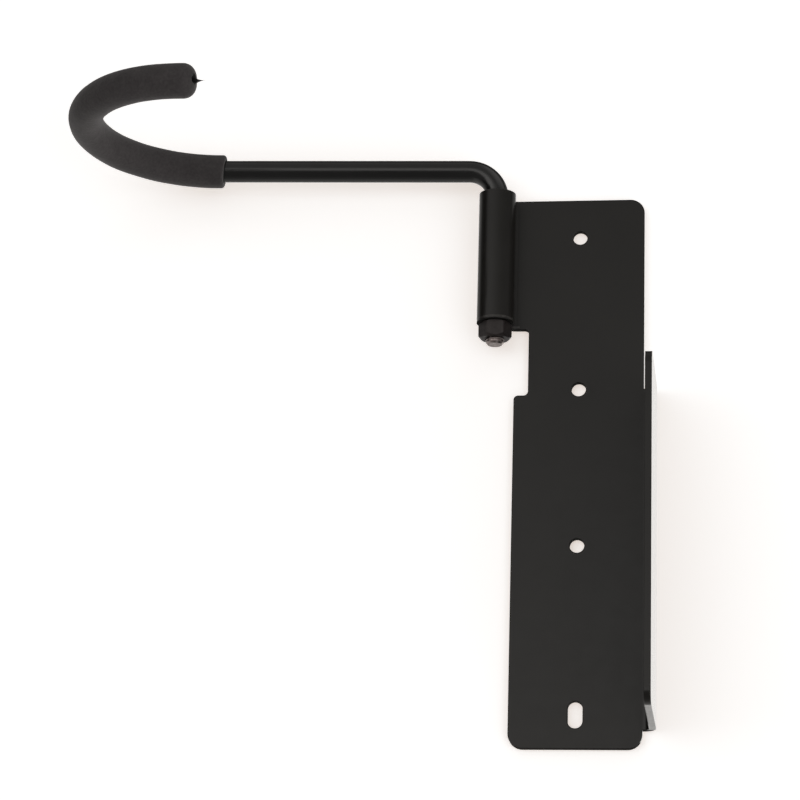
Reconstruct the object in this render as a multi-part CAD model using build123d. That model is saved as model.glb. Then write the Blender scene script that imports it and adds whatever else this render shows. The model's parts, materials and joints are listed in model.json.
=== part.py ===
from build123d import *
import os
from math import acos, asin, cos, degrees, radians, sin, sqrt, tan

# Swinging wall hook for hanging a bicycle by one wheel. Millimetres, +Z up, the room towards -Y.
# The origin is the centre of the plate's back, on the wall plane Y = 0.

# Wall plate, one bent sheet
SHEET = 3.0
PLATE_WIDTH = 58.4
PLATE_HEIGHT = 254.0
PLATE_CORNER = 6.5
NOTCH_DEPTH = 6.4
NOTCH_HEIGHT = 31.4
NOTCH_CORNER = 2.0

# Screw holes and a slot on the plate's middle line
HOLE_DIAMETER = 6.5
HOLE_PITCH = 72.5
TOP_HOLE_INSET = 18.25
SLOT_WIDTH = 6.5
SLOT_LENGTH = 12.0
SLOT_INSET = 14.95

# Side flange, bent towards the room along the plate's right edge
FLANGE_DEPTH = 60.0
FLANGE_LENGTH = 155.0
FLANGE_ABOVE_CORNER = 1.7
FLANGE_BEND = 3.0
FLANGE_CORNER = 6.0

# Rolled eye that carries the rod, beside the plate's left edge
EYE_LENGTH = 62.0
EYE_OFFSET = 8.1
EYE_STAND_OFF = 11.5
EYE_CLEARANCE = 0.4
NECK_BEND = 2.4
SEAM_GAP = 0.5

# Hook rod
ROD_DIAMETER = 10.0
BEND_RADIUS = 13.5
BEND_INSET = 1.75
ARM_LENGTH = 128.35
ARM_SLOPE = 1.2
HOOK_RADIUS = 51.7
TIP_RUN = 3.0
THREAD_DIAMETER = 8.0
THREAD_CHAMFER = 0.8
THREAD_SHOWING = 2.7
SHOULDER_DEPTH = 0.5

# Foam sleeve over the hook
SLEEVE_DIAMETER = 15.4
SLEEVE_OVERLAP = 0.8
SLEEVE_CAP = 4.0
SLEEVE_LIP = 0.75
SLEEVE_DOME = 5.5
SLEEVE_FIT = 0.05

# Lock nut and the ring inside its foot
NUT_FLATS = 13.0
NUT_HEIGHT = 7.3
NUT_SEAT_DIAMETER = 13.0
NUT_SEAT_ANGLE = 30.0
NUT_FOOT_DIAMETER = 12.5
NUT_FOOT_ANGLE = 45.0
NUT_FOOT_LIP = 0.4
NUT_TURN = 5.0
NUT_PLAY = 0.2
THREAD_FIT = 0.05
INSERT_WALL = 1.05
INSERT_SHOWING = 0.5
INSERT_HEIGHT = 2.2
INSERT_FIT = 0.05

# Places worked out from the sizes above
PLATE_TOP = PLATE_HEIGHT / 2
PLATE_RIGHT = PLATE_WIDTH / 2
FLANGE_BOTTOM = PLATE_CORNER + FLANGE_ABOVE_CORNER - PLATE_TOP
EYE_BOTTOM = PLATE_TOP - EYE_LENGTH
EYE_INNER = ROD_DIAMETER / 2 + EYE_CLEARANCE
EYE_OUTER = EYE_INNER + SHEET
PIVOT = Vector(-PLATE_RIGHT - EYE_OFFSET, -EYE_STAND_OFF, 0)

# The neck is the concave bend between the flat plate and the eye: its centre is one bend radius in front
# of the plate, and one bend radius outside the eye
NECK_TO_EYE = EYE_OUTER + NECK_BEND
NECK_Y = -SHEET - NECK_BEND
NECK_ANGLE = degrees(asin((NECK_Y - PIVOT.Y) / NECK_TO_EYE))
NECK_X = PIVOT.X + NECK_TO_EYE * cos(radians(NECK_ANGLE))

# The rod's line: up the pivot to the elbow, along the arm to the throat, round a half circle to the room
ARM = Vector(-cos(radians(ARM_SLOPE)), 0, sin(radians(ARM_SLOPE)))
ROOM = Vector(0, -1, 0)
ELBOW_RISE = BEND_RADIUS * tan(radians(90 - ARM_SLOPE) / 2) - BEND_INSET
ELBOW = PIVOT + Vector(0, 0, PLATE_TOP + ELBOW_RISE)
THROAT = ELBOW + ARM * ARM_LENGTH
HOOK_END = THROAT + ROOM * (2 * HOOK_RADIUS)

# Lock nut
NUT_TOP = EYE_BOTTOM - NUT_PLAY
THREAD_END = NUT_TOP - NUT_HEIGHT - THREAD_SHOWING
THREAD_BORE = THREAD_DIAMETER / 2 + THREAD_FIT
INSERT_RADIUS = THREAD_BORE + INSERT_WALL
POCKET_RADIUS = INSERT_RADIUS + INSERT_FIT

STANDING = (Align.CENTER, Align.CENTER, Align.MIN)
HANGING = (Align.CENTER, Align.CENTER, Align.MAX)


def ring_sector(centre, inner, outer, start, span):
    """A piece of a flat ring in the XY plane, with its angles in degrees from +X."""
    far = CenterArc(centre, outer, start, span)
    near = CenterArc(centre, inner, start, span)
    return make_face([far, near, Line(far @ 0, near @ 0), Line(far @ 1, near @ 1)])


def corner_at(face, x, z):
    """The outline's vertex nearest to a point of the front view."""
    return min(face.vertices(), key=lambda v: (v.X - x) ** 2 + (v.Z - z) ** 2)


def plate_outline():
    """The flat of the plate in front view, from the start of the neck to the start of the flange's bend."""
    left = -PLATE_RIGHT
    notch_side = left + NOTCH_DEPTH
    notch_low = EYE_BOTTOM - NOTCH_HEIGHT
    points = [
        (NECK_X, PLATE_TOP),
        (PLATE_RIGHT, PLATE_TOP),
        (PLATE_RIGHT, -PLATE_TOP),
        (left, -PLATE_TOP),
        (left, notch_low),
        (notch_side, notch_low),
        (notch_side, EYE_BOTTOM),
        (NECK_X, EYE_BOTTOM),
    ]
    face = Plane.XZ * make_face(Polyline(*points, close=True))
    face = fillet([corner_at(face, x, z) for x, z in points[1:4]], PLATE_CORNER)
    return fillet([corner_at(face, x, z) for x, z in points[4:7]], NOTCH_CORNER)


def screw_openings():
    """A row of round holes, one pitch apart, above the slot near the plate's foot, as one cutter."""
    top = PLATE_TOP - TOP_HOLE_INSET
    slot_height = SLOT_INSET - PLATE_TOP
    count = int((top - slot_height) / HOLE_PITCH)
    holes = [Pos(0, top - i * HOLE_PITCH) * Circle(HOLE_DIAMETER / 2) for i in range(count)]
    slot = Pos(0, slot_height) * SlotOverall(SLOT_LENGTH, SLOT_WIDTH, rotation=90)
    return extrude(Plane.XZ * Sketch(children=holes + [slot]), amount=2 * SHEET, both=True)


def side_flange():
    """The bend along the plate's right edge and the flange that it carries, with rounded front corners."""
    outer = FLANGE_BEND + SHEET
    bend = ring_sector((PLATE_RIGHT, -outer), FLANGE_BEND, outer, 0, 90)
    wall = Rectangle(SHEET, FLANGE_DEPTH - outer, align=(Align.MIN, Align.MIN))
    section = bend + Pos(PLATE_RIGHT + FLANGE_BEND, -FLANGE_DEPTH) * wall
    flange = extrude(Pos(0, 0, FLANGE_BOTTOM) * section, amount=FLANGE_LENGTH)
    return fillet(flange.edges().filter_by(Axis.X).group_by(Axis.Y)[0], FLANGE_CORNER)


def rolled_eye():
    """The neck and the eye, rolled from the plate's own sheet, with its free edge at the back."""
    neck = ring_sector((NECK_X, NECK_Y), NECK_BEND, NECK_BEND + SHEET, 90, 90 + NECK_ANGLE)
    reach = NECK_BEND + SHEET + SEAM_GAP
    mouth = degrees(acos((EYE_OUTER**2 + NECK_TO_EYE**2 - reach**2) / (2 * EYE_OUTER * NECK_TO_EYE)))
    eye = ring_sector((PIVOT.X, PIVOT.Y), EYE_INNER, EYE_OUTER, NECK_ANGLE + mouth, 360 - mouth)
    return extrude(Pos(0, 0, EYE_BOTTOM) * (neck + eye), amount=EYE_LENGTH)


def wall_plate():
    flat = extrude(plate_outline(), amount=SHEET)
    return flat + side_flange() + rolled_eye() - screw_openings()


def hook_curve(tip_run):
    """The half circle from the throat towards the room, and a straight run past it."""
    curve = ThreePointArc(THROAT, THROAT + (ARM + ROOM) * HOOK_RADIUS, HOOK_END)
    return curve, Line(HOOK_END, HOOK_END - ARM * tip_run)


def tube(radius, *lines):
    """A round bar along tangent lines."""
    path = Wire([edge for line in lines for edge in line.edges()])
    start = Plane(path @ 0, z_dir=path % 0)
    return sweep(start * Circle(radius), path=path)


def hook_rod():
    """One bent bar, turned down at its foot for the thread."""
    shoulder = EYE_BOTTOM + SHOULDER_DEPTH
    shank_and_arm = FilletPolyline(PIVOT + Vector(0, 0, shoulder), ELBOW, THROAT, radius=BEND_RADIUS)
    rod = tube(ROD_DIAMETER / 2, shank_and_arm, *hook_curve(TIP_RUN))
    thread = Cylinder(THREAD_DIAMETER / 2, shoulder - THREAD_END, align=STANDING)
    thread = chamfer(thread.edges().group_by(Axis.Z)[0], THREAD_CHAMFER)
    return rod + Pos(PIVOT.X, PIVOT.Y, THREAD_END) * thread


def ring_at(body, point):
    """The round edge whose centre is nearest to a point."""
    rings = body.edges().filter_by(GeomType.CIRCLE)
    return min(rings, key=lambda ring: (ring.arc_center - point).length)


def hook_sleeve():
    """Foam tube over the half circle, closed by a dome past the rod's tip."""
    mouth = Line(THROAT - ARM * SLEEVE_OVERLAP, THROAT)
    outside = hook_curve(TIP_RUN + SLEEVE_CAP)
    sleeve = tube(SLEEVE_DIAMETER / 2, mouth, *outside)
    sleeve = fillet(ring_at(sleeve, outside[-1] @ 1), SLEEVE_DOME)
    sleeve = chamfer(ring_at(sleeve, mouth @ 0), SLEEVE_LIP)
    return sleeve - tube(ROD_DIAMETER / 2 + SLEEVE_FIT, mouth, *hook_curve(TIP_RUN + SLEEVE_FIT))


def chamfered_hexagon():
    """The nut's hexagon, hanging from its seat, with the corners turned off at both ends."""
    corner = NUT_FLATS / sqrt(3)
    seat = NUT_SEAT_DIAMETER / 2
    foot = NUT_FOOT_DIAMETER / 2
    seat_drop = (corner - seat) * tan(radians(NUT_SEAT_ANGLE))
    foot_rise = (corner - foot) * tan(radians(NUT_FOOT_ANGLE))
    side = [(seat, 0), (corner, -seat_drop), (corner, foot_rise - NUT_HEIGHT), (foot, -NUT_HEIGHT)]
    half = make_face(Polyline((0, 0), *side, (0, -NUT_HEIGHT), close=True))
    hexagon = extrude(RegularPolygon(NUT_FLATS / 2, 6, major_radius=False), amount=-NUT_HEIGHT)
    return hexagon & revolve(Plane.XZ * half, Axis.Z)


def lock_nut():
    """A hexagon nut, hollow at its foot for the ring, which shows inside the foot's lip."""
    bore = Cylinder(THREAD_BORE, NUT_HEIGHT, align=HANGING)
    pocket = Pos(0, 0, NUT_FOOT_LIP - NUT_HEIGHT) * Cylinder(POCKET_RADIUS, INSERT_HEIGHT, align=STANDING)
    window = Pos(0, 0, -NUT_HEIGHT) * Cylinder(THREAD_BORE + INSERT_SHOWING, NUT_FOOT_LIP, align=STANDING)
    nut = chamfered_hexagon() - bore - pocket - window
    return Pos(PIVOT.X, PIVOT.Y, NUT_TOP) * Rot(0, 0, NUT_TURN) * nut


def nut_insert():
    """The ring that grips the thread."""
    height = INSERT_HEIGHT - INSERT_FIT
    ring = Cylinder(INSERT_RADIUS, height, align=STANDING) - Cylinder(THREAD_BORE, height, align=STANDING)
    return Pos(PIVOT.X, PIVOT.Y, NUT_TOP - NUT_HEIGHT + NUT_FOOT_LIP) * ring


os.makedirs("parts", exist_ok=True)
for piece in (wall_plate, hook_rod, hook_sleeve, lock_nut, nut_insert):
    export_step(piece(), f"parts/{piece.__name__}.step")
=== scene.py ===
import json
from math import cos, pi, radians, sin, sqrt, tau

import bmesh
import bpy
from mathutils import Matrix, Vector, noise


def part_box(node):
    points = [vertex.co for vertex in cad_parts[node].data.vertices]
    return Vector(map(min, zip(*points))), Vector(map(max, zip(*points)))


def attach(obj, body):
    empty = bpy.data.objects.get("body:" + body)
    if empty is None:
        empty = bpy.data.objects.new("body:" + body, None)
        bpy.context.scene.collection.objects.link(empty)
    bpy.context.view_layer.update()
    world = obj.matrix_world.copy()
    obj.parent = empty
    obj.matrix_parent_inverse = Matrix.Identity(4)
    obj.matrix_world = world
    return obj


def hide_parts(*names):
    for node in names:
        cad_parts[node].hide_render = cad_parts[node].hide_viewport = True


# Looks of the swinging wall hook. Metres, +Z up, the room towards -Y, as in the frame.

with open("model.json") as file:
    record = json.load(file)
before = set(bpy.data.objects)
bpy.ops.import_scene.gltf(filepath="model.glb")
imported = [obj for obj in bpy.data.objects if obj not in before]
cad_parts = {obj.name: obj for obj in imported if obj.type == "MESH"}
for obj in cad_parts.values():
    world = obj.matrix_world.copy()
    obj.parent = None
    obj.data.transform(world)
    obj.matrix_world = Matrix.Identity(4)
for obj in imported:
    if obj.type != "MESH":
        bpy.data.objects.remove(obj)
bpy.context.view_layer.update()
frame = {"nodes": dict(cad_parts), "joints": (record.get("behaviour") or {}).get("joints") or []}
MM = 0.001

# Camera, fitted to the photograph: it stands below the plate and looks up at it
PHOTO_SIDE = 800
FOCAL_PIXELS = 3038.7
CAMERA_TURN = radians(7.473)
CAMERA_RISE = radians(17.858)
CAMERA_ROLL = radians(1.738)
CAMERA_DISTANCE = 1372.9 * MM
CAMERA_TARGET = Vector((-80.87, -0.5, 32.83)) * MM
SENSOR = 36

# Light of the room, by direction: a bright band over a dim floor, and a lamp at the upper right
LIGHT_COLOUR = (1.0, 0.975, 0.945)
FLOOR_LEVEL = 0.18
BAND_LEVEL = 1.4
CEILING_LEVEL = 0.44
BAND_START = (-0.22, -0.06)
BAND_END = (0.14, 0.42)
LEFT_LEVEL = 1.2
RIGHT_LEVEL = 0.35
LEFT_TO_RIGHT = (-0.6, 0.9)
LEFT_END = (-0.90, -0.74)
ROOM_ENDS = (0.02, 0.18)
LAMP_LEVEL = 0.7
LAMP_SIDE = (0.05, 0.45)
LAMP_HEIGHT = (0.45, 0.65)

# Light that comes up from both sides and from below
BOUNCE_LEFT_LEVEL = 0.42
BOUNCE_LEFT = (-0.60, -0.32)
BOUNCE_LEFT_DEPTH = (-0.30, 0.10)
BOUNCE_RIGHT_LEVEL = 1.4
BOUNCE_RIGHT = (0.25, 0.55)
BOUNCE_HEIGHT = (-0.35, 0.0)
UNDER_LEVEL = 0.2
UNDER_DEPTH = (-0.25, 0.15)
UNDER_HEIGHT = (-0.9, -0.5)

# Light from the pale surface behind the plate, and that surface as the camera sees it
SURFACE_NEAR = (0.10, 0.50)
SURFACE_NEAR_LEVEL = 0.38
SURFACE_FAR = (0.75, 0.95)
SURFACE_FAR_LEVEL = 0.70
SURFACE_LOW = (-0.45, -0.10)
SURFACE_HIGH = (0.45, 0.75)
SURFACE_HIGH_SHARE = 0.3
BACKDROP_GLOW = (0.625, 0.545, 0.485)
BACKDROP_PAPER = (0.72, 0.85, 0.96)
BACKDROP_HALF = 4.0
BACKDROP_BEHIND = 0.4 * MM

# Nodes: the middle of a noise's range, its detail, and a Mix node's two inputs and its output
NOISE_MIDDLE = (0.3, 0.7)
NOISE_DETAIL = 3.0
MIX_SOCKETS = {"FLOAT": (2, 3, 0), "RGBA": (6, 7, 2)}

# Coat of the plate and the rod: its tones and gloss, and the orange peel in it
PLATE_LOOK = {
    "tones": ((0.0076, 0.0070, 0.0061), (0.0096, 0.0088, 0.0077)),
    "tone_size": 24 * MM,
    "gloss": (0.32, 0.41),
    "gloss_size": 6 * MM,
}
PLATE_FINISH = {"specular": 0.2, "skin": 1.0, "peel": 0.9 * MM, "peel_depth": 0.015 * MM}
ROD_LOOK = {
    "tones": ((0.0060, 0.0060, 0.0060), (0.0080, 0.0080, 0.0080)),
    "tone_size": 24 * MM,
    "gloss": (0.18, 0.27),
    "gloss_size": 6 * MM,
}
ROD_FINISH = {"specular": 0.5, "skin": 0.0, "peel": 1.4 * MM, "peel_depth": 0.010 * MM}
PEEL_DETAIL = 2.0
FINE_PEEL = 0.25
SKIN_IOR = 1.25
SKIN_ROUGHNESS = 0.12
EDGE_ROUND = 0.7 * MM
EDGE_SAMPLES = 6

# Where the plate's coat is dull (hole walls, faces turned down), and a painted highlight on the eye's lower
# rim
HOLE_REACH = 7 * MM
HOLE_SPAN = 120 * MM
SHEET_REACH = 3.2 * MM
EYE_EDGE = -27 * MM
FACING = 0.5
# Painted highlight on the eye's lower rim: its pale tone, its height above the nut, its half width and the
# size of its breaks
RIM_HIGHLIGHT_TONE = (0.062, 0.059, 0.056)
RIM_HEIGHT = 1.2 * MM
RIM_HALF_WIDTH = 0.5 * MM
RIM_GRAIN = 2.5 * MM

# Bare steel of the rod's thread, which starts a little above the nut's foot
STEEL_LOOK = {
    "tones": ((0.20, 0.16, 0.15), (0.42, 0.37, 0.36)),
    "tone_size": 1.2 * MM,
    "gloss": (0.25, 0.45),
    "gloss_size": 0.5 * MM,
}
STEEL_PITS = 0.35 * MM
STEEL_PIT_DEPTH = 0.05 * MM
BARE_ABOVE_NUT = 0.3 * MM

# Nut and the nylon ring in it
NUT_LOOK = {
    "tones": ((0.015, 0.0110, 0.0108), (0.027, 0.0205, 0.0200)),
    "tone_size": 2.5 * MM,
    "tone_detail": 4.0,
    "gloss": (0.4, 0.58),
    "gloss_size": 0.8 * MM,
}
NUT_METAL = 0.2
NUT_PITS = 0.4 * MM
NUT_PIT_DEPTH = 0.02 * MM
NYLON_LOOK = {
    "tones": ((0.03, 0.03, 0.032), (0.05, 0.05, 0.054)),
    "tone_size": 1.5 * MM,
    "gloss": (0.4, 0.55),
    "gloss_size": 0.7 * MM,
}

# Foam: patches and specks of tone, a soft sheen at its edges, and a skin of fine cells
FOAM_TONES = ((0.038, 0.0348, 0.0361), (0.063, 0.0580, 0.0592))
FOAM_PATCHES = 6 * MM
FOAM_PATCH_DETAIL = 5.0
FOAM_SPECKS = 1.1 * MM
FOAM_SPECK_SHARE = 0.6
FOAM_SPECULAR = 0.15
FOAM_GLOSS = (0.72, 0.9)
FOAM_GLOSS_SIZE = 3 * MM
FOAM_SHEEN = 0.22
FOAM_SHEEN_ROUGHNESS = 0.4
FOAM_CELL = 0.55 * MM
FOAM_CELL_DEPTH = 0.05 * MM
FOAM_CELL_STRENGTH = 0.6
FOAM_PITS = 1.6 * MM
FOAM_PIT_DETAIL = 4.0
FOAM_PIT_DEPTH = 0.10 * MM

# Foam sleeve
SLEEVE_RADIUS = 7.7 * MM
SLEEVE_BORE = 5.05 * MM
SLEEVE_OVERLAP = 0.8 * MM
SLEEVE_LIP = 1.2 * MM
SLEEVE_INNER_LIP = 0.3 * MM
SLEEVE_DOME = 5.5 * MM
MOUTH_LEAN = 0.6 * MM
MOUTH_REACH = 14 * MM
TIP_RUN = 3.05 * MM
TIP_CAP = 3.95 * MM
TIP_HOLE = 0.1 * MM
ARM_SLOPE = radians(1.2)
FOAM_UNEVENNESS = 0.10 * MM
FOAM_WAVE = 9 * MM
RING_POINTS = 64
BORE_STEPS = 90
FACE_STEPS = 4
LIP_STEPS = 6
RUN_STEPS = 150
DOME_STEPS = 24
TIP_STEPS = 8

# Gathered dimple in the sleeve's tip, and the nib that stands out of it
DIMPLE_RADIUS = 2.6 * MM
DIMPLE_DEPTH = 2.2 * MM
DIMPLE_TURN = radians(28)
DIMPLE_DROP = radians(4)
# Painted shade: inside the dimple the foam's colour is darkened to this share, fading out across the edge
# band
DIMPLE_SHADE = 0.12
DIMPLE_SHADE_EDGE = (0.85 * DIMPLE_RADIUS, 1.15 * DIMPLE_RADIUS)
NIB_LENGTH = 4.4 * MM
NIB_ROOT = 1.4 * MM
NIB_RADIUS = 1.2 * MM
NIB_POINT = 0.04 * MM
NIB_TAPER = 2.4
NIB_LIFT = 0.4 * MM
NIB_STEPS = 18
NIB_POINTS = 12

# Thread that shows below the nut: its ridge fades out at both ends, counted in steps
THREAD_RADIUS = 4.0 * MM
THREAD_PITCH = 1.25 * MM
THREAD_HEIGHT = 0.22 * MM
THREAD_START = 1.5 * MM
THREAD_SINK = 0.05 * MM
THREAD_ROOT_HALF = 0.38 * THREAD_PITCH
THREAD_CREST_HALF = 0.2 * THREAD_ROOT_HALF
THREAD_EXTRA_TURNS = 0.5
THREAD_TURN_STEPS = 48
THREAD_FADE_LOW = 20
THREAD_FADE_HIGH = 8


class Nodes:
    """The node tree of a material or a world, with short ways to add its nodes and link them."""

    def __init__(self, owner, output="Material Output"):
        owner.use_nodes = True
        self.owner = owner
        self.tree = owner.node_tree
        self.link = self.tree.links.new
        self.output = self.tree.nodes[output]

    def add(self, kind, **settings):
        node = self.tree.nodes.new("ShaderNode" + kind)
        for key, value in settings.items():
            setattr(node, key, value)
        return node

    def put(self, value, socket):
        """Feed a socket from another socket, or set it to a fixed value."""
        if isinstance(value, bpy.types.NodeSocket):
            self.link(value, socket)
        else:
            socket.default_value = value

    def place(self, kind="Object"):
        """The place of a point in its piece's own frame or, for a world, the direction of the light."""
        return self.add("TexCoord").outputs[kind]

    def axes(self, vector):
        parts = self.add("SeparateXYZ")
        self.link(vector, parts.inputs["Vector"])
        return parts.outputs["X"], parts.outputs["Y"], parts.outputs["Z"]

    def joined(self, operation, *values):
        """The result of a Math node on values that are sockets or numbers."""
        node = self.add("Math", operation=operation)
        for value, socket in zip(values, node.inputs):
            self.put(value, socket)
        return node.outputs["Value"]

    def ranged(self, value, ends, low, high, kind="LINEAR"):
        """A value that goes from low to high between two ends."""
        node = self.add("MapRange", interpolation_type=kind)
        for name, number in zip(("From Min", "From Max", "To Min", "To Max"), (*ends, low, high)):
            node.inputs[name].default_value = number
        self.link(value, node.inputs["Value"])
        return node.outputs["Result"]

    def smooth(self, value, ends, low, high):
        return self.ranged(value, ends, low, high, "SMOOTHSTEP")

    def grain(self, size, detail=NOISE_DETAIL):
        """Noise in the piece's own frame, with features of about that size."""
        texture = self.add("TexNoise")
        texture.inputs["Scale"].default_value = 1 / size
        texture.inputs["Detail"].default_value = detail
        self.link(self.place(), texture.inputs["Vector"])
        return texture.outputs["Fac"]

    def mottle(self, size, low=0, high=1, detail=NOISE_DETAIL):
        """Noise whose middle range is stretched from low to high."""
        return self.ranged(self.grain(size, detail), NOISE_MIDDLE, low, high)

    def mixed(self, kind, share, one, other):
        """Two numbers or two colours, mixed by the share of the second."""
        node = self.add("Mix", data_type=kind)
        first, second, result = MIX_SOCKETS[kind]
        self.put(share, node.inputs[0])
        self.put(one, node.inputs[first])
        self.put(other, node.inputs[second])
        return node.outputs[result]

    def two_tone(self, share, dark, light):
        return self.mixed("RGBA", share, (*dark, 1), (*light, 1))

    def bump(self, height, distance, strength=1.0, under=None):
        """A normal that follows a height, on top of the normal under it."""
        node = self.add("Bump")
        node.inputs["Distance"].default_value = distance
        node.inputs["Strength"].default_value = strength
        self.link(height, node.inputs["Height"])
        if under:
            self.link(under, node.inputs["Normal"])
        return node.outputs["Normal"]

    def choose(self, share, one, other):
        """Send two shaders to the output, mixed by the share of the second."""
        chooser = self.add("MixShader")
        self.link(share, chooser.inputs["Fac"])
        self.link(one, chooser.inputs[1])
        self.link(other, chooser.inputs[2])
        self.link(chooser.outputs["Shader"], self.output.inputs["Surface"])


def material(name):
    """The nodes of a new material, and its shader."""
    nodes = Nodes(bpy.data.materials.new(name))
    return nodes, nodes.tree.nodes["Principled BSDF"]


def set_look(nodes, shader, tones, tone_size, gloss, gloss_size, tone_detail=NOISE_DETAIL):
    """Slow changes of tone and gloss."""
    cloud = nodes.mottle(tone_size, detail=tone_detail)
    nodes.link(nodes.two_tone(cloud, *tones), shader.inputs["Base Color"])
    nodes.link(nodes.mottle(gloss_size, *gloss), shader.inputs["Roughness"])


def coat_material(name, look, specular, skin, peel, peel_depth):
    """Black powder coat: fine orange peel under a smooth skin, with soft edges."""
    nodes, shader = material(name)
    set_look(nodes, shader, **look)
    shader.inputs["Specular IOR Level"].default_value = specular
    shader.inputs["Coat Weight"].default_value = skin
    shader.inputs["Coat IOR"].default_value = SKIN_IOR
    shader.inputs["Coat Roughness"].default_value = SKIN_ROUGHNESS
    bevel = nodes.add("Bevel", samples=EDGE_SAMPLES)
    bevel.inputs["Radius"].default_value = EDGE_ROUND
    edge = bevel.outputs["Normal"]
    coarse = nodes.bump(nodes.grain(peel, PEEL_DETAIL), peel_depth, under=edge)
    fine = nodes.bump(nodes.grain(peel * FINE_PEEL, PEEL_DETAIL), peel_depth * FINE_PEEL, under=coarse)
    nodes.link(fine, shader.inputs["Normal"])
    nodes.link(edge, shader.inputs["Coat Normal"])
    return nodes, shader


def dull_holes(nodes, shader):
    """Thin, dull coat on the walls of the screw holes, the plate's lower edges and the eye's lower end."""
    joined = nodes.joined
    x, y, z = nodes.axes(nodes.place())
    facing = nodes.axes(nodes.add("NewGeometry").outputs["True Normal"])
    strip = joined("MULTIPLY", joined("COMPARE", x, 0, HOLE_REACH), joined("COMPARE", z, 0, HOLE_SPAN))
    inside = joined("MULTIPLY", strip, joined("COMPARE", facing[1], 0, FACING))
    low = joined("MAXIMUM", joined("LESS_THAN", x, EYE_EDGE), joined("COMPARE", y, 0, SHEET_REACH))
    below = joined("MULTIPLY", low, joined("COMPARE", facing[2], -1, FACING))
    dull = joined("MAXIMUM", inside, below)
    nodes.link(joined("SUBTRACT", 1, dull), shader.inputs["Coat Weight"])
    gloss = shader.inputs["Roughness"].links[0].from_socket
    nodes.link(joined("MAXIMUM", gloss, dull), shader.inputs["Roughness"])


def painted_rim_highlight(nodes, shader):
    """Painted highlight: a pale broken line round the eye's lower rim, which stands on the nut, where its
    rounded edge would catch light.
    """
    x, _, z = nodes.axes(nodes.place())
    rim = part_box("lock_nut")[1].z + RIM_HEIGHT
    line = nodes.joined("COMPARE", z, rim, RIM_HALF_WIDTH)
    line = nodes.joined("MULTIPLY", line, nodes.joined("LESS_THAN", x, EYE_EDGE))
    # Painted highlight, broken by noise and mixed into the coat's colour
    highlight = nodes.joined("MULTIPLY", line, nodes.mottle(RIM_GRAIN))
    tone = shader.inputs["Base Color"].links[0].from_socket
    nodes.link(nodes.mixed("RGBA", highlight, tone, (*RIM_HIGHLIGHT_TONE, 1)), shader.inputs["Base Color"])


def bare_end(nodes, coat):
    """The rod's coat stops at the thread, which is bare steel with a warm tarnish."""
    steel = nodes.add("BsdfPrincipled")
    set_look(nodes, steel, **STEEL_LOOK)
    steel.inputs["Metallic"].default_value = 1.0
    nodes.link(nodes.bump(nodes.grain(STEEL_PITS), STEEL_PIT_DEPTH), steel.inputs["Normal"])
    height = nodes.axes(nodes.place())[2]
    below = nodes.joined("LESS_THAN", height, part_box("lock_nut")[0].z + BARE_ABOVE_NUT)
    nodes.choose(below, coat.outputs["BSDF"], steel.outputs["BSDF"])


def foam_material():
    """Closed-cell foam: matt, mottled, with a skin of fine cells, and shade painted dark into the gathered
    tip's dimple.
    """
    nodes, shader = material("foam_black")
    patches = nodes.mottle(FOAM_PATCHES, detail=FOAM_PATCH_DETAIL)
    cloud = nodes.mixed("FLOAT", FOAM_SPECK_SHARE, patches, nodes.mottle(FOAM_SPECKS))
    # Painted shade: the colour is darkened near the dimple's centre
    reach = nodes.add("VectorMath", operation="DISTANCE")
    reach.inputs[1].default_value = DIMPLE_CENTRE
    nodes.link(nodes.place(), reach.inputs[0])
    tone = nodes.add("VectorMath", operation="SCALE")
    nodes.link(nodes.two_tone(cloud, *FOAM_TONES), tone.inputs[0])
    nodes.link(nodes.smooth(reach.outputs["Value"], DIMPLE_SHADE_EDGE, DIMPLE_SHADE, 1), tone.inputs["Scale"])
    nodes.link(tone.outputs["Vector"], shader.inputs["Base Color"])
    nodes.link(nodes.mottle(FOAM_GLOSS_SIZE, *FOAM_GLOSS), shader.inputs["Roughness"])
    shader.inputs["Specular IOR Level"].default_value = FOAM_SPECULAR
    shader.inputs["Sheen Weight"].default_value = FOAM_SHEEN
    shader.inputs["Sheen Roughness"].default_value = FOAM_SHEEN_ROUGHNESS
    cells = nodes.add("TexVoronoi")
    cells.inputs["Scale"].default_value = 1 / FOAM_CELL
    nodes.link(nodes.place(), cells.inputs["Vector"])
    skin = nodes.bump(cells.outputs["Distance"], FOAM_CELL_DEPTH, FOAM_CELL_STRENGTH)
    pits = nodes.bump(nodes.grain(FOAM_PITS, FOAM_PIT_DETAIL), FOAM_PIT_DEPTH, under=skin)
    nodes.link(pits, shader.inputs["Normal"])
    return nodes.owner


def nut_material():
    """Blackened steel with a brown cast, smooth on the flats."""
    nodes, shader = material("nut_blackened")
    set_look(nodes, shader, **NUT_LOOK)
    shader.inputs["Metallic"].default_value = NUT_METAL
    nodes.link(nodes.bump(nodes.grain(NUT_PITS), NUT_PIT_DEPTH), shader.inputs["Normal"])
    return nodes.owner


def nylon_material():
    nodes, shader = material("nylon_dark")
    set_look(nodes, shader, **NYLON_LOOK)
    return nodes.owner


def dress(name, made):
    node = frame["nodes"][name]
    node.data.materials.clear()
    node.data.materials.append(made)


def new_object(name, mesh, made):
    piece = bpy.data.objects.new(name, mesh)
    bpy.context.scene.collection.objects.link(piece)
    mesh.materials.append(made)
    return piece


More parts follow.
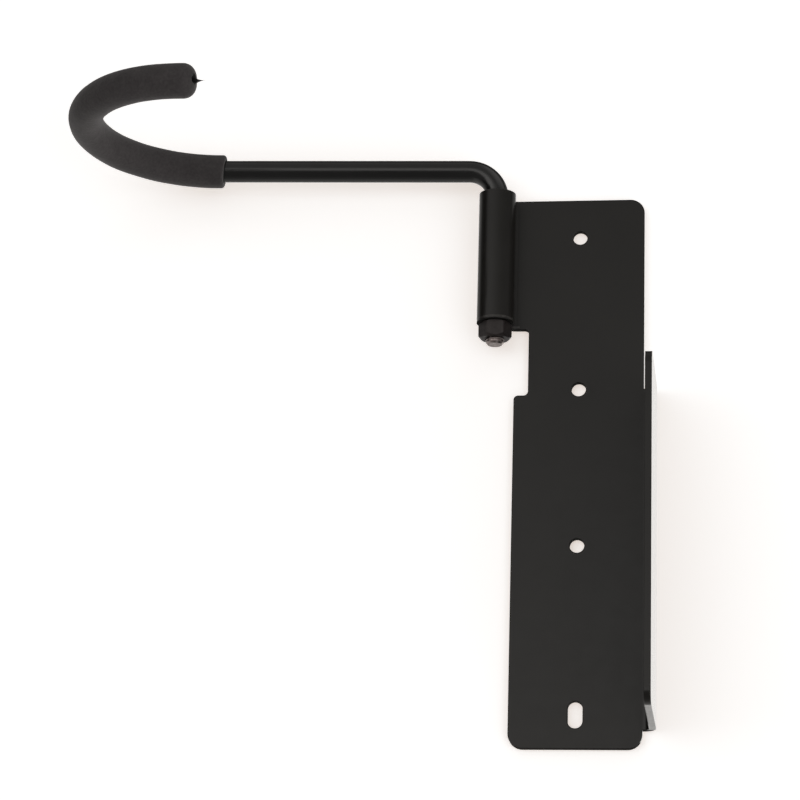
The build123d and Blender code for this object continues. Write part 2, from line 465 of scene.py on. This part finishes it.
def mesh_from_rings(name, rings):
    """A skin over rings of points, with its ends closed by fans."""
    grid = bmesh.new()
    rows = [[grid.verts.new(point) for point in ring] for ring in rings]
    count = len(rows[0])
    for near, far in zip(rows, rows[1:]):
        for i in range(count):
            j = (i + 1) % count
            grid.faces.new((near[i], near[j], far[j], far[i]))
    for row in (rows[0], rows[-1]):
        centre = grid.verts.new(sum((v.co for v in row), Vector()) / count)
        for i in range(count):
            grid.faces.new((row[i], row[(i + 1) % count], centre))
    bmesh.ops.recalc_face_normals(grid, faces=grid.faces)
    for face in grid.faces:
        face.smooth = True
    mesh = bpy.data.meshes.new(name)
    grid.to_mesh(mesh)
    grid.free()
    return mesh


# The hook's line, from the sleeve's box: straight into the throat, half circle to the room, straight tip
sleeve_low, sleeve_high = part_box("hook_sleeve")
HOOK_RADIUS = (sleeve_high.y - sleeve_low.y) / 2 - SLEEVE_RADIUS
HOOK_LENGTH = pi * HOOK_RADIUS
ARM = Vector((-cos(ARM_SLOPE), 0, sin(ARM_SLOPE)))
ROOM = Vector((0, -1, 0))
UP = ARM.cross(ROOM)
LEAN_SIDE = (UP + ROOM) / sqrt(2)
THROAT = Vector((
    sleeve_low.x + SLEEVE_RADIUS + HOOK_RADIUS * cos(ARM_SLOPE),
    sleeve_high.y - SLEEVE_RADIUS,
    sleeve_high.z - SLEEVE_RADIUS - HOOK_RADIUS * sin(ARM_SLOPE),
))


def hook_place(distance):
    """The point of the hook's line at a distance past the throat, and the line's direction there."""
    if distance < 0:
        return THROAT + ARM * distance, ARM
    if distance > HOOK_LENGTH:
        return THROAT + ROOM * (2 * HOOK_RADIUS) - ARM * (distance - HOOK_LENGTH), -ARM
    turn = distance / HOOK_RADIUS
    point = THROAT + ARM * (HOOK_RADIUS * sin(turn)) + ROOM * (HOOK_RADIUS * (1 - cos(turn)))
    return point, ARM * cos(turn) + ROOM * sin(turn)


def hook_ring(distance, radius, unevenness=0.0):
    """Points round the hook's line, a little uneven as foam is, and a little askew near the mouth."""
    centre, along = hook_place(distance)
    side = along.cross(UP)
    lean = MOUTH_LEAN * max(0, 1 - (distance + SLEEVE_OVERLAP) / MOUTH_REACH)
    ring = []
    for i in range(RING_POINTS):
        turn = tau * i / RING_POINTS
        out = side * cos(turn) + UP * sin(turn)
        wobble = noise.noise((centre + out * radius) / FOAM_WAVE)
        askew = 1 + out.dot(LEAN_SIDE)
        ring.append(centre + out * (radius + wobble * unevenness) - along * (lean * askew))
    return ring


DOME_CENTRE, TIP = hook_place(HOOK_LENGTH + TIP_RUN + TIP_CAP - SLEEVE_DOME)
DIMPLE_AXIS = (TIP * cos(DIMPLE_TURN) + ROOM * sin(DIMPLE_TURN)) * cos(DIMPLE_DROP) - UP * sin(DIMPLE_DROP)
DIMPLE_CENTRE = DOME_CENTRE + DIMPLE_AXIS * SLEEVE_DOME


def gathered(point):
    """The point, drawn in where it lies in the tip's dimple."""
    reach = point - DOME_CENTRE
    height = reach.dot(DIMPLE_AXIS)
    share = (reach - DIMPLE_AXIS * height).length / DIMPLE_RADIUS
    if height < 0 or share > 1:
        return point
    return point - DIMPLE_AXIS * (DIMPLE_DEPTH * (1 - share ** 2) ** 2)


def steps(low, high, count):
    return [low + (high - low) * i / count for i in range(count + 1)]


def sleeve_rings():
    """From the bore's blind end back to the mouth, over the lip, along the outside and round the dome."""
    start = -SLEEVE_OVERLAP
    bore_end = HOOK_LENGTH + TIP_RUN
    end = bore_end + TIP_CAP
    inner = SLEEVE_INNER_LIP
    rings = [hook_ring(s, SLEEVE_BORE) for s in steps(bore_end, start + 2 * inner, BORE_STEPS)]
    rings.append(hook_ring(start + inner / 2, SLEEVE_BORE + inner / 2))
    for radius in steps(SLEEVE_BORE + inner, SLEEVE_RADIUS - SLEEVE_LIP, FACE_STEPS):
        rings.append(hook_ring(start, radius))
    for turn in steps(0, pi / 2, LIP_STEPS)[1:]:
        radius = SLEEVE_RADIUS - SLEEVE_LIP * (1 - sin(turn))
        rings.append(hook_ring(start + SLEEVE_LIP * (1 - cos(turn)), radius, FOAM_UNEVENNESS))
    for s in steps(start + SLEEVE_LIP, end - SLEEVE_DOME, RUN_STEPS)[1:]:
        rings.append(hook_ring(s, SLEEVE_RADIUS, FOAM_UNEVENNESS))
    dome = []
    for turn in steps(0, pi / 2, DOME_STEPS)[1:]:
        radius = SLEEVE_RADIUS - SLEEVE_DOME * (1 - cos(turn))
        dome.append(hook_ring(end - SLEEVE_DOME * (1 - sin(turn)), radius, FOAM_UNEVENNESS))
    for radius in steps(SLEEVE_RADIUS - SLEEVE_DOME, TIP_HOLE, TIP_STEPS)[1:]:
        dome.append(hook_ring(end, radius))
    return rings + [[gathered(point) for point in ring] for ring in dome]


def foam_sleeve(foam):
    """The foam tube, with its open mouth and a gathered dimple in its domed tip."""
    sleeve = new_object("foam_sleeve", mesh_from_rings("foam_sleeve", sleeve_rings()), foam)
    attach(sleeve, "hook")
    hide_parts("hook_sleeve")


def foam_nib(foam):
    """The small pointed nib of foam that stands out of the dimple, wide at its root."""
    side = TIP.cross(UP)
    start = DOME_CENTRE + TIP * SLEEVE_DOME
    turns = [tau * i / NIB_POINTS for i in range(NIB_POINTS)]
    rings = []
    for reach in steps(-NIB_ROOT, NIB_LENGTH, NIB_STEPS):
        share = max(0, reach / NIB_LENGTH)
        radius = NIB_RADIUS * (1 - share) ** NIB_TAPER + NIB_POINT
        middle = start + TIP * reach + UP * (NIB_LIFT * share ** 2)
        rings.append([middle + (side * cos(turn) + UP * sin(turn)) * radius for turn in turns])
    nib = new_object("foam_nib", mesh_from_rings("foam_nib", rings), foam)
    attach(nib, "hook")


def thread_ridge(steel):
    """The thread's ridge on the rod's end, one helix that runs out at the chamfer."""
    pivot = Vector(frame["joints"][0]["pos_m"])
    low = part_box("hook_rod")[0].z + THREAD_START
    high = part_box("lock_nut")[0].z
    turns = (high - low) / THREAD_PITCH + THREAD_EXTRA_TURNS
    count = int(turns * THREAD_TURN_STEPS)
    root = THREAD_RADIUS - THREAD_SINK
    rings = []
    for i in range(count + 1):
        turn = tau * turns * i / count
        fade = min(1, i / THREAD_FADE_LOW, (count - i) / THREAD_FADE_HIGH)
        crest = THREAD_RADIUS + THREAD_HEIGHT * fade
        height = low - THREAD_PITCH / 4 + THREAD_PITCH * turn / tau
        out = Vector((cos(turn), sin(turn), 0))
        middle = Vector((pivot.x, pivot.y, height))
        profile = (
            (root, -THREAD_ROOT_HALF),
            (crest, -THREAD_CREST_HALF),
            (crest, THREAD_CREST_HALF),
            (root, THREAD_ROOT_HALF),
        )
        rings.append([middle + out * radius + Vector((0, 0, rise)) for radius, rise in profile])
    ridge = new_object("thread_ridge", mesh_from_rings("thread_ridge", rings), steel)
    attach(ridge, "hook")


def backdrop():
    """The pale surface behind the plate. It takes shadows, and shows from the room's side only."""
    nodes, shader = material("backdrop_white")
    nodes.tree.nodes.remove(shader)
    glow = nodes.add("Emission")
    glow.inputs["Color"].default_value = (*BACKDROP_GLOW, 1)
    paper = nodes.add("BsdfDiffuse")
    paper.inputs["Color"].default_value = (*BACKDROP_PAPER, 1)
    both = nodes.add("AddShader")
    nodes.link(glow.outputs["Emission"], both.inputs[0])
    nodes.link(paper.outputs["BSDF"], both.inputs[1])
    behind = nodes.add("NewGeometry").outputs["Backfacing"]
    nodes.choose(behind, both.outputs["Shader"], nodes.add("BsdfTransparent").outputs["BSDF"])
    mesh = bpy.data.meshes.new("backdrop")
    signs = ((-1, -1), (1, -1), (1, 1), (-1, 1))
    corners = [(BACKDROP_HALF * x, BACKDROP_BEHIND, BACKDROP_HALF * z) for x, z in signs]
    mesh.from_pydata(corners, [], [(0, 1, 2, 3)])
    sheet = new_object("backdrop", mesh, nodes.owner)
    sheet.visible_diffuse = False
    sheet.visible_glossy = False
    sheet.visible_transmission = False
    sheet.visible_shadow = False


def world_light():
    """Light from the room and from the pale surface behind the plate, and white to the camera."""
    world = bpy.data.worlds.new("studio")
    bpy.context.scene.world = world
    nodes = Nodes(world, "World Output")
    smooth, joined = nodes.smooth, nodes.joined
    across, depth, height = nodes.axes(nodes.place("Generated"))

    rising = smooth(height, BAND_START, FLOOR_LEVEL, BAND_LEVEL)
    falling = smooth(height, BAND_END, 1, CEILING_LEVEL / BAND_LEVEL)
    sideways = smooth(across, LEFT_TO_RIGHT, LEFT_LEVEL, RIGHT_LEVEL)
    band = joined("MULTIPLY", joined("MULTIPLY", rising, falling), sideways)
    lamp = joined("MULTIPLY", smooth(across, LAMP_SIDE, 0, 1), smooth(height, LAMP_HEIGHT, 0, LAMP_LEVEL))
    ends = joined("MULTIPLY", smooth(across, LEFT_END, 0, 1), smooth(depth, ROOM_ENDS, 1, 0))
    room = joined("MULTIPLY", joined("ADD", band, lamp), ends)

    left = smooth(across, BOUNCE_LEFT, BOUNCE_LEFT_LEVEL, 0)
    left = joined("MULTIPLY", left, smooth(depth, BOUNCE_LEFT_DEPTH, 0, 1))
    right = smooth(across, BOUNCE_RIGHT, 0, BOUNCE_RIGHT_LEVEL)
    bounce = joined("MULTIPLY", joined("ADD", left, right), smooth(height, BOUNCE_HEIGHT, 1, 0))
    under = joined("MULTIPLY", smooth(depth, UNDER_DEPTH, 0, 1), smooth(height, UNDER_HEIGHT, UNDER_LEVEL, 0))

    near = smooth(depth, SURFACE_NEAR, 0, SURFACE_NEAR_LEVEL)
    near = joined("MULTIPLY", near, smooth(height, SURFACE_HIGH, 1, SURFACE_HIGH_SHARE))
    far = smooth(depth, SURFACE_FAR, 0, SURFACE_FAR_LEVEL)
    far = joined("MULTIPLY", far, smooth(height, SURFACE_LOW, 0, 1))

    below = joined("ADD", bounce, under)
    surface = joined("ADD", near, far)
    light = nodes.tree.nodes["Background"]
    light.inputs["Color"].default_value = (*LIGHT_COLOUR, 1)
    nodes.link(joined("ADD", joined("ADD", room, below), surface), light.inputs["Strength"])
    white = nodes.add("Background")
    white.inputs["Color"].default_value = (1, 1, 1, 1)
    seen = nodes.add("LightPath").outputs["Is Camera Ray"]
    nodes.choose(seen, light.outputs["Background"], white.outputs["Background"])


def camera():
    """The photograph's camera, from its turn, rise, roll and distance."""
    view = Vector((
        -sin(CAMERA_TURN) * cos(CAMERA_RISE),
        cos(CAMERA_TURN) * cos(CAMERA_RISE),
        sin(CAMERA_RISE),
    ))
    right = Vector((cos(CAMERA_TURN), sin(CAMERA_TURN), 0))
    up = right.cross(view)
    tilted_right = right * cos(CAMERA_ROLL) + up * sin(CAMERA_ROLL)
    tilted_up = up * cos(CAMERA_ROLL) - right * sin(CAMERA_ROLL)
    lens = bpy.data.cameras.new("camera")
    lens.sensor_width = SENSOR
    lens.lens = FOCAL_PIXELS / PHOTO_SIDE * SENSOR
    eye = bpy.data.objects.new("camera", lens)
    axes = Matrix((tilted_right, tilted_up, -view)).transposed()
    eye.matrix_world = Matrix.Translation(CAMERA_TARGET - view * CAMERA_DISTANCE) @ axes.to_4x4()
    bpy.context.scene.collection.objects.link(eye)
    bpy.context.scene.camera = eye


plate_nodes, plate_shader = coat_material("plate_coat", PLATE_LOOK, **PLATE_FINISH)
dull_holes(plate_nodes, plate_shader)
# Paints a highlight round the eye's lower rim
painted_rim_highlight(plate_nodes, plate_shader)
rod_nodes, rod_shader = coat_material("rod_coat", ROD_LOOK, **ROD_FINISH)
bare_end(rod_nodes, rod_shader)
dress("wall_plate", plate_nodes.owner)
dress("hook_rod", rod_nodes.owner)
dress("lock_nut", nut_material())
dress("nut_insert", nylon_material())
foam = foam_material()
foam_sleeve(foam)
foam_nib(foam)
thread_ridge(rod_nodes.owner)
backdrop()
world_light()
camera()
bpy.context.scene.view_settings.view_transform = "Standard"
